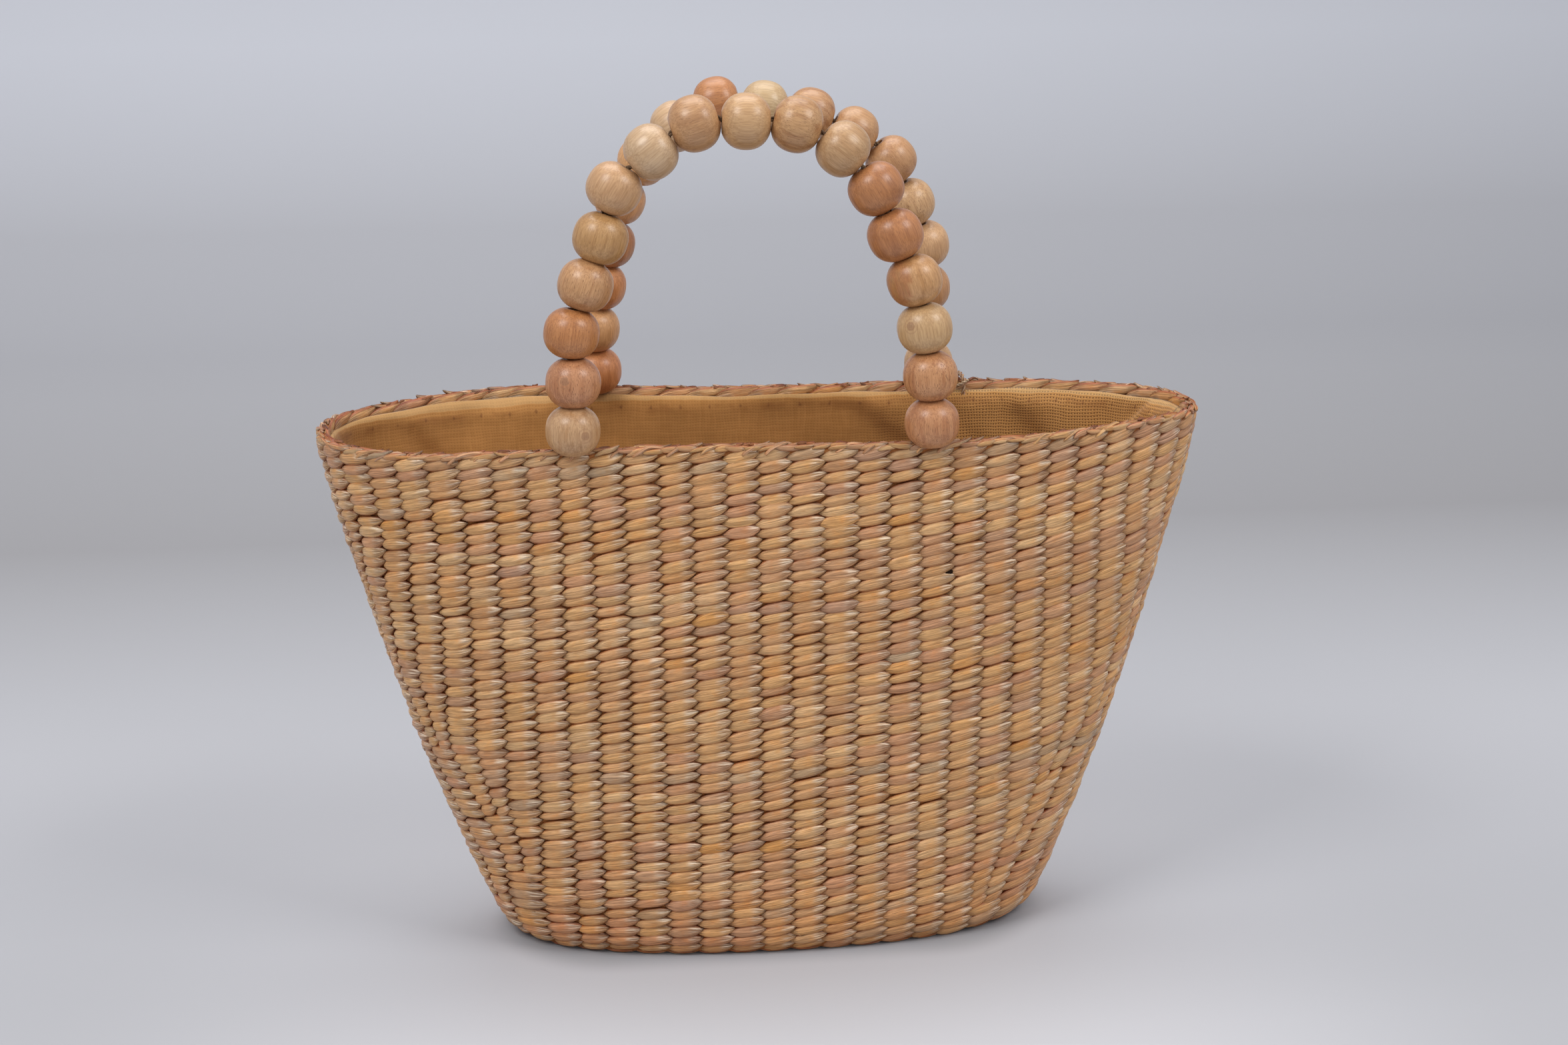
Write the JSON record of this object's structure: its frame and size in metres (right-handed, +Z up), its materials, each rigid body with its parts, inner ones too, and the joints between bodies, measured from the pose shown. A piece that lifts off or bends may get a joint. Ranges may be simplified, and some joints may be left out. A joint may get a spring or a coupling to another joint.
{
  "type": "straw basket bag with beaded handles",
  "caption": "Tapered oval basket bag of woven straw with a cloth lining, a braided rim and two arched handles of round wood beads.",
  "frame": {"origin": "on the surface that the bag stands on, under the middle of its box", "axes": "+Z up, +X along the bag's length, -Y out of its front"},
  "size_m": [0.4232, 0.1579, 0.4168],
  "materials": {
    "straw": "dry woven straw",
    "braid": "twisted straw",
    "lining": "coarse matte cloth",
    "bead_wood": "satin",
    "string": "matte cord"
  },
  "bodies": {
    "root": {"basket_wall": "straw", "rim_braid": "braid", "rim_tie": "braid", "lining": "lining", "front_string": "string", "back_string": "string", "front_bead_01": "bead_wood", "front_bead_02": "bead_wood", "front_bead_03": "bead_wood", "front_bead_04": "bead_wood", "front_bead_05": "bead_wood", "front_bead_06": "bead_wood", "front_bead_07": "bead_wood", "front_bead_08": "bead_wood", "front_bead_09": "bead_wood", "front_bead_10": "bead_wood", "front_bead_11": "bead_wood", "front_bead_12": "bead_wood", "front_bead_13": "bead_wood", "front_bead_14": "bead_wood", "front_bead_15": "bead_wood", "front_bead_16": "bead_wood", "front_bead_17": "bead_wood", "back_bead_01": "bead_wood", "back_bead_02": "bead_wood", "back_bead_03": "bead_wood", "back_bead_04": "bead_wood", "back_bead_05": "bead_wood", "back_bead_06": "bead_wood", "back_bead_07": "bead_wood", "back_bead_08": "bead_wood", "back_bead_09": "bead_wood", "back_bead_10": "bead_wood", "back_bead_11": "bead_wood", "back_bead_12": "bead_wood", "back_bead_13": "bead_wood", "back_bead_14": "bead_wood", "back_bead_15": "bead_wood", "back_bead_16": "bead_wood", "back_bead_17": "bead_wood"}
  },
  "joints": []
}
